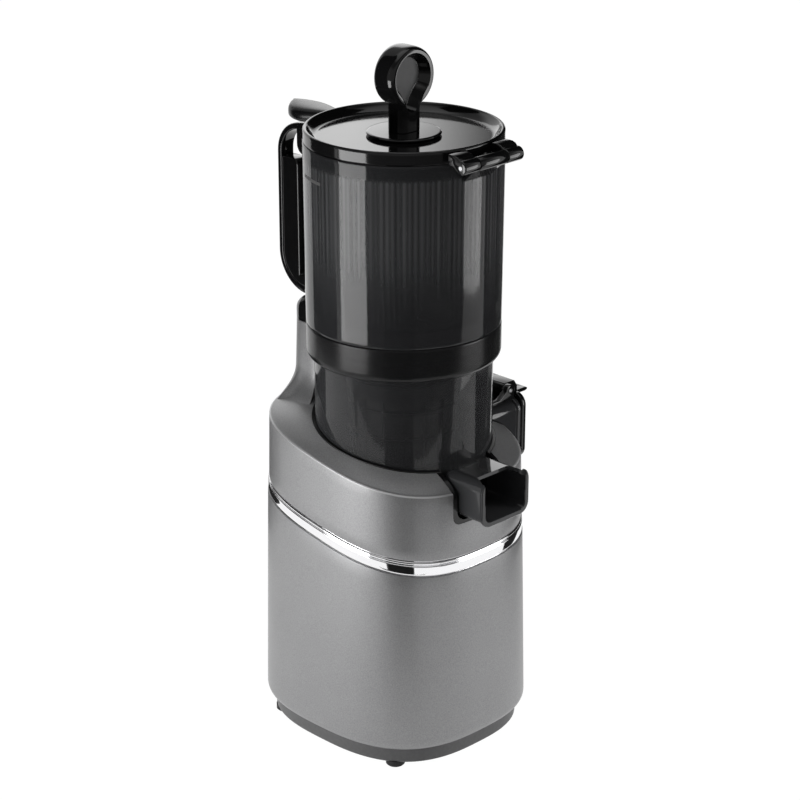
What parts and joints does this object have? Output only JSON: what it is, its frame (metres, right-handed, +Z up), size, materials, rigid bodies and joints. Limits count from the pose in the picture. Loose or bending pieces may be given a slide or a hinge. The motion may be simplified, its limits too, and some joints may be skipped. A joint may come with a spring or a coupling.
{
  "type": "cold press juicer",
  "caption": "Upright cold press juicer: slow auger and strainer in a tinted bowl with pulp chute and capped juice spout, wide clear hopper with handle, hinged lid and pusher.",
  "frame": {"origin": "on the auger's axis, in the plane of the worktop under the feet", "axes": "+Z up along the auger's axis, -Y to the front where the pulp chute is, +X to the juice spout"},
  "size_m": [0.2097, 0.2266, 0.5172],
  "materials": {
    "body_silver": "fine metallic silver lacquer, satin",
    "chrome_trim": "bright plated",
    "gloss_black": "polished black",
    "satin_black": "satin black",
    "plinth_grey": "fine moulded texture",
    "rubber_black": "soft rubber",
    "silicone": "matt silicone",
    "tinted_hopper": "clear plastic with a smoke tint",
    "tinted_bowl": "clear plastic with a smoke tint",
    "tinted_collar": "darker tinted plastic",
    "strainer_black": "semi-gloss black",
    "auger_black": "semi-gloss black",
    "steel_mesh": "fine perforated steel",
    "steel": "bright steel",
    "cast_aluminium": "as cast",
    "motor_can": "painted steel",
    "board_green": "coated board"
  },
  "bodies": {
    "base": {"foot_pads": "rubber_black", "base_plate": "plinth_grey", "base_screws": "steel", "lower_housing": "body_silver", "trim_ring": "chrome_trim", "upper_housing": "body_silver", "well_liner": "satin_black", "front_saddle": "gloss_black", "side_saddle": "gloss_black", "neck_cap": "gloss_black", "reed_switch": "board_green", "gearbox": "cast_aluminium", "gearbox_screws": "steel", "motor": "motor_can", "control_board": "board_green", "cord_gland": "rubber_black", "selector_switch": "satin_black", "selector_bezel": "chrome_trim", "shaft_seal": "rubber_black"},
    "drive": {"drive_shaft": "steel"},
    "selector": {"selector_knob": "gloss_black"},
    "bowl": {"juicing_bowl": "tinted_bowl", "cap_bracket": "gloss_black", "cap_pin": "steel", "bowl_seal": "silicone", "strainer_frame": "strainer_black", "strainer_mesh": "steel_mesh"},
    "juice_cap": {"juice_cap": "gloss_black", "juice_cap_seal": "silicone"},
    "auger": {"auger": "auger_black", "auger_socket": "steel"},
    "lock_ring": {"lock_collar": "tinted_collar", "collar_gasket": "silicone"},
    "hopper": {"hopper": "tinted_hopper", "handle_grip": "gloss_black", "handle_strap": "gloss_black", "handle_screws": "steel", "handle_magnet": "steel", "lid_pin": "steel"},
    "lid": {"lid": "gloss_black", "lid_gasket": "silicone", "thumb_tab": "gloss_black"},
    "pusher": {"pusher_knob": "gloss_black", "pusher_disc": "gloss_black", "pusher_plunger": "satin_black"}
  },
  "joints": [
    {"name": "drive_spin", "type": "hinge", "parent": "base", "child": "drive", "pos_m": [0, 0, 0.17], "axis": [0, 0, 1], "continuous": true},
    {"name": "selector_turn", "type": "hinge", "parent": "base", "child": "selector", "pos_m": [0, 0.1014, 0.096], "axis": [0, 1, 0], "range_deg": [-45, 45]},
    {"name": "bowl_lift", "type": "slide", "parent": "base", "child": "bowl", "axis": [0, 0, 1], "range_m": [0, 0.12]},
    {"name": "auger_spin", "type": "hinge", "parent": "bowl", "child": "auger", "pos_m": [0, 0, 0.2], "axis": [0, 0, 1], "continuous": true},
    {"name": "juice_cap_hinge", "type": "hinge", "parent": "bowl", "child": "juice_cap", "pos_m": [0.094, 0, 0.2428], "axis": [0, -1, 0], "range_deg": [0, 100]},
    {"name": "hopper_lift", "type": "slide", "parent": "bowl", "child": "lock_ring", "axis": [0, 0, 1], "range_m": [0, 0.12]},
    {"name": "hopper_twist", "type": "hinge", "parent": "lock_ring", "child": "hopper", "pos_m": [0, 0, 0.32], "axis": [0, 0, 1], "range_deg": [0, 35]},
    {"name": "lid_hinge", "type": "hinge", "parent": "hopper", "child": "lid", "pos_m": [0, -0.082, 0.4517], "axis": [1, 0, 0], "range_deg": [0, 110]},
    {"name": "pusher_lift", "type": "slide", "parent": "lid", "child": "pusher", "axis": [0, 0, 1], "range_m": [0, 0.075]}
  ],
  "couplings": [
    {"joint": "auger_spin", "follows": "drive_spin", "ratio": 1}
  ]
}
